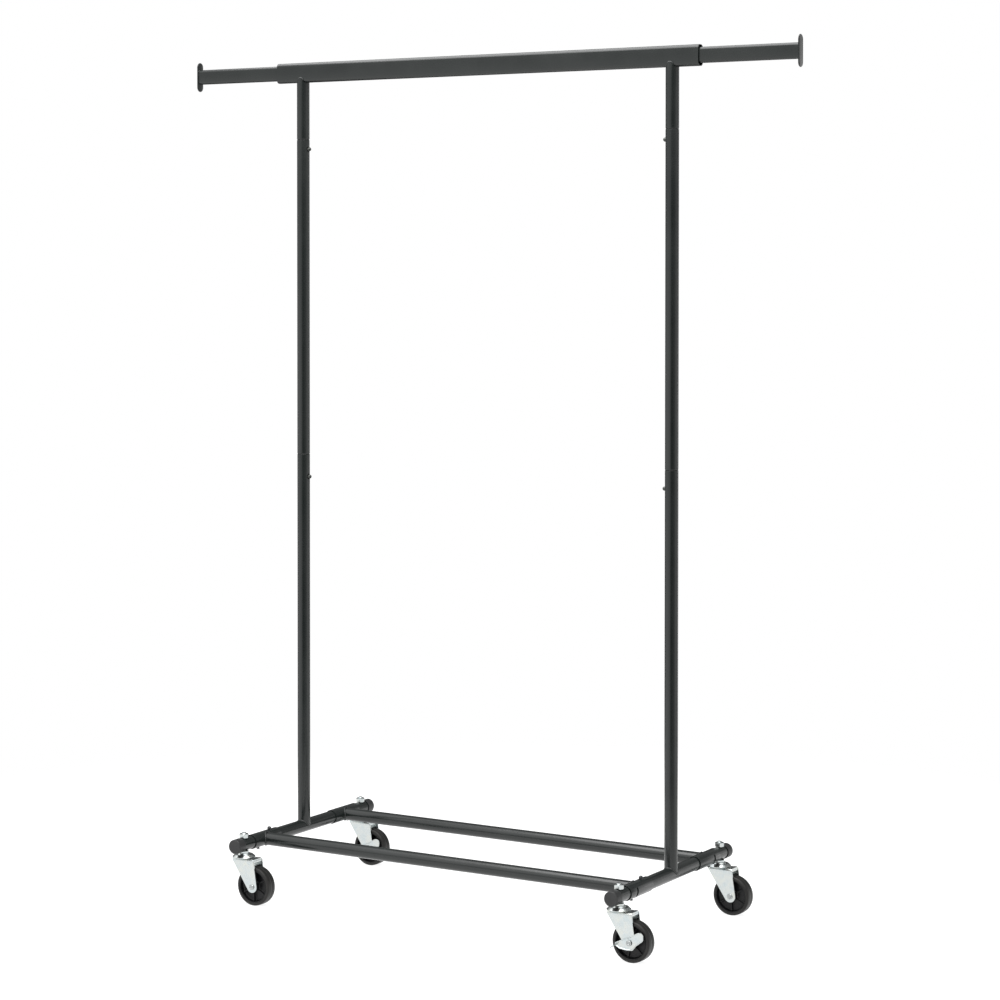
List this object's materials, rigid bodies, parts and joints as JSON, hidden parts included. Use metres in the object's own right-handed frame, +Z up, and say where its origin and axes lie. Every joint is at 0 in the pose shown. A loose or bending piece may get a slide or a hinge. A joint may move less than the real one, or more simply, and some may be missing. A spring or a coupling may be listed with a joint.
{
  "type": "rolling clothes rack",
  "caption": "Rolling garment rack with a tube base on swivel casters, round uprights joined by snap buttons, and a hang bar with a sliding arm at each end.",
  "frame": {"origin": "on the floor under the middle of the rack", "axes": "+X along the hang bar, towards the right end as seen from the front; +Y from front to back; +Z up"},
  "size_m": [1.364, 0.476, 1.6795],
  "materials": {
    "coating": "satin dark grey powder coat",
    "zinc": "bright zinc plate",
    "black_button": "black coated steel",
    "spring": "plain spring steel",
    "cap": "moulded polyethylene",
    "glide": "moulded nylon",
    "wheel": "moulded polypropylene with a satin tread"
  },
  "bodies": {
    "root": {"front_base_rail": "coating", "back_base_rail": "coating", "left_base_tube": "coating", "left_lower_upright": "coating", "left_middle_upright": "coating", "left_bar_leg": "coating", "right_base_tube": "coating", "right_lower_upright": "coating", "right_middle_upright": "coating", "right_bar_leg": "coating", "hang_bar": "coating", "left_lower_button_spring": "spring", "left_upper_button_spring": "spring", "left_sleeve_button_spring": "spring", "right_lower_button_spring": "spring", "right_upper_button_spring": "spring", "right_sleeve_button_spring": "spring", "front_left_end_cap": "cap", "front_left_guide_pin": "black_button", "front_left_caster_head": "zinc", "front_left_caster_nut": "zinc", "front_right_end_cap": "cap", "front_right_guide_pin": "black_button", "front_right_caster_head": "zinc", "front_right_caster_nut": "zinc", "back_left_end_cap": "cap", "back_left_guide_pin": "black_button", "back_left_caster_head": "zinc", "back_left_caster_nut": "zinc", "back_right_end_cap": "cap", "back_right_guide_pin": "black_button", "back_right_caster_head": "zinc", "back_right_caster_nut": "zinc"},
    "left_sliding_arm": {"left_arm": "coating", "left_arm_end_plate": "coating", "left_arm_glide": "glide"},
    "right_sliding_arm": {"right_arm": "coating", "right_arm_end_plate": "coating", "right_arm_glide": "glide"},
    "left_lower_button": {"left_lower_button": "zinc"},
    "left_upper_button": {"left_upper_button": "zinc"},
    "left_sleeve_button": {"left_sleeve_button": "black_button"},
    "right_lower_button": {"right_lower_button": "zinc"},
    "right_upper_button": {"right_upper_button": "zinc"},
    "right_sleeve_button": {"right_sleeve_button": "black_button"},
    "front_left_caster_swivelling_fork": {"front_left_caster_fork": "zinc", "front_left_caster_axle": "zinc"},
    "front_left_caster_rolling_wheel": {"front_left_caster_wheel": "wheel"},
    "front_right_caster_swivelling_fork": {"front_right_caster_fork": "zinc", "front_right_caster_axle": "zinc"},
    "front_right_caster_rolling_wheel": {"front_right_caster_wheel": "wheel"},
    "front_right_caster_foot_brake": {"front_right_caster_brake_lever": "zinc"},
    "back_left_caster_swivelling_fork": {"back_left_caster_fork": "zinc", "back_left_caster_axle": "zinc"},
    "back_left_caster_rolling_wheel": {"back_left_caster_wheel": "wheel"},
    "back_left_caster_foot_brake": {"back_left_caster_brake_lever": "zinc"},
    "back_right_caster_swivelling_fork": {"back_right_caster_fork": "zinc", "back_right_caster_axle": "zinc"},
    "back_right_caster_rolling_wheel": {"back_right_caster_wheel": "wheel"}
  },
  "joints": [
    {"name": "left_arm_slide", "type": "slide", "parent": "root", "child": "left_sliding_arm", "axis": [1, 0, 0], "range_m": [0, 0.2]},
    {"name": "right_arm_slide", "type": "slide", "parent": "root", "child": "right_sliding_arm", "axis": [-1, 0, 0], "range_m": [0, 0.2]},
    {"name": "left_lower_button_press", "type": "slide", "parent": "root", "child": "left_lower_button", "axis": [-1, 0, 0], "range_m": [0, 0.0065], "stiffness_N_per_m": 400, "springref_m": -0.002, "deforming": ["left_lower_button_spring"]},
    {"name": "left_upper_button_press", "type": "slide", "parent": "root", "child": "left_upper_button", "axis": [-1, 0, 0], "range_m": [0, 0.0065], "stiffness_N_per_m": 400, "springref_m": -0.002, "deforming": ["left_upper_button_spring"]},
    {"name": "left_sleeve_button_press", "type": "slide", "parent": "root", "child": "left_sleeve_button", "axis": [0, 0, -1], "range_m": [0, 0.0065], "stiffness_N_per_m": 400, "springref_m": -0.002, "deforming": ["left_sleeve_button_spring"]},
    {"name": "right_lower_button_press", "type": "slide", "parent": "root", "child": "right_lower_button", "axis": [1, 0, 0], "range_m": [0, 0.0065], "stiffness_N_per_m": 400, "springref_m": -0.002, "deforming": ["right_lower_button_spring"]},
    {"name": "right_upper_button_press", "type": "slide", "parent": "root", "child": "right_upper_button", "axis": [1, 0, 0], "range_m": [0, 0.0065], "stiffness_N_per_m": 400, "springref_m": -0.002, "deforming": ["right_upper_button_spring"]},
    {"name": "right_sleeve_button_press", "type": "slide", "parent": "root", "child": "right_sleeve_button", "axis": [0, 0, -1], "range_m": [0, 0.0065], "stiffness_N_per_m": 400, "springref_m": -0.002, "deforming": ["right_sleeve_button_spring"]},
    {"name": "front_left_caster_swivel", "type": "hinge", "parent": "root", "child": "front_left_caster_swivelling_fork", "pos_m": [-0.42, -0.206, 0.09], "axis": [0, 0, 1], "continuous": true},
    {"name": "front_left_caster_roll", "type": "hinge", "parent": "front_left_caster_swivelling_fork", "child": "front_left_caster_rolling_wheel", "pos_m": [-0.39, -0.206, 0.0381], "axis": [0, 1, 0], "continuous": true},
    {"name": "front_right_caster_swivel", "type": "hinge", "parent": "root", "child": "front_right_caster_swivelling_fork", "pos_m": [0.42, -0.206, 0.09], "axis": [0, 0, 1], "continuous": true},
    {"name": "front_right_caster_roll", "type": "hinge", "parent": "front_right_caster_swivelling_fork", "child": "front_right_caster_rolling_wheel", "pos_m": [0.45, -0.206, 0.0381], "axis": [0, 1, 0], "continuous": true},
    {"name": "front_right_caster_brake", "type": "hinge", "parent": "front_right_caster_swivelling_fork", "child": "front_right_caster_foot_brake", "pos_m": [0.45, -0.2228, 0.0381], "axis": [0, -1, 0], "range_deg": [0, 20]},
    {"name": "back_left_caster_swivel", "type": "hinge", "parent": "root", "child": "back_left_caster_swivelling_fork", "pos_m": [-0.42, 0.206, 0.09], "axis": [0, 0, 1], "continuous": true},
    {"name": "back_left_caster_roll", "type": "hinge", "parent": "back_left_caster_swivelling_fork", "child": "back_left_caster_rolling_wheel", "pos_m": [-0.39, 0.206, 0.0381], "axis": [0, 1, 0], "continuous": true},
    {"name": "back_left_caster_brake", "type": "hinge", "parent": "back_left_caster_swivelling_fork", "child": "back_left_caster_foot_brake", "pos_m": [-0.39, 0.1892, 0.0381], "axis": [0, -1, 0], "range_deg": [0, 20]},
    {"name": "back_right_caster_swivel", "type": "hinge", "parent": "root", "child": "back_right_caster_swivelling_fork", "pos_m": [0.42, 0.206, 0.09], "axis": [0, 0, 1], "continuous": true},
    {"name": "back_right_caster_roll", "type": "hinge", "parent": "back_right_caster_swivelling_fork", "child": "back_right_caster_rolling_wheel", "pos_m": [0.45, 0.206, 0.0381], "axis": [0, 1, 0], "continuous": true}
  ]
}
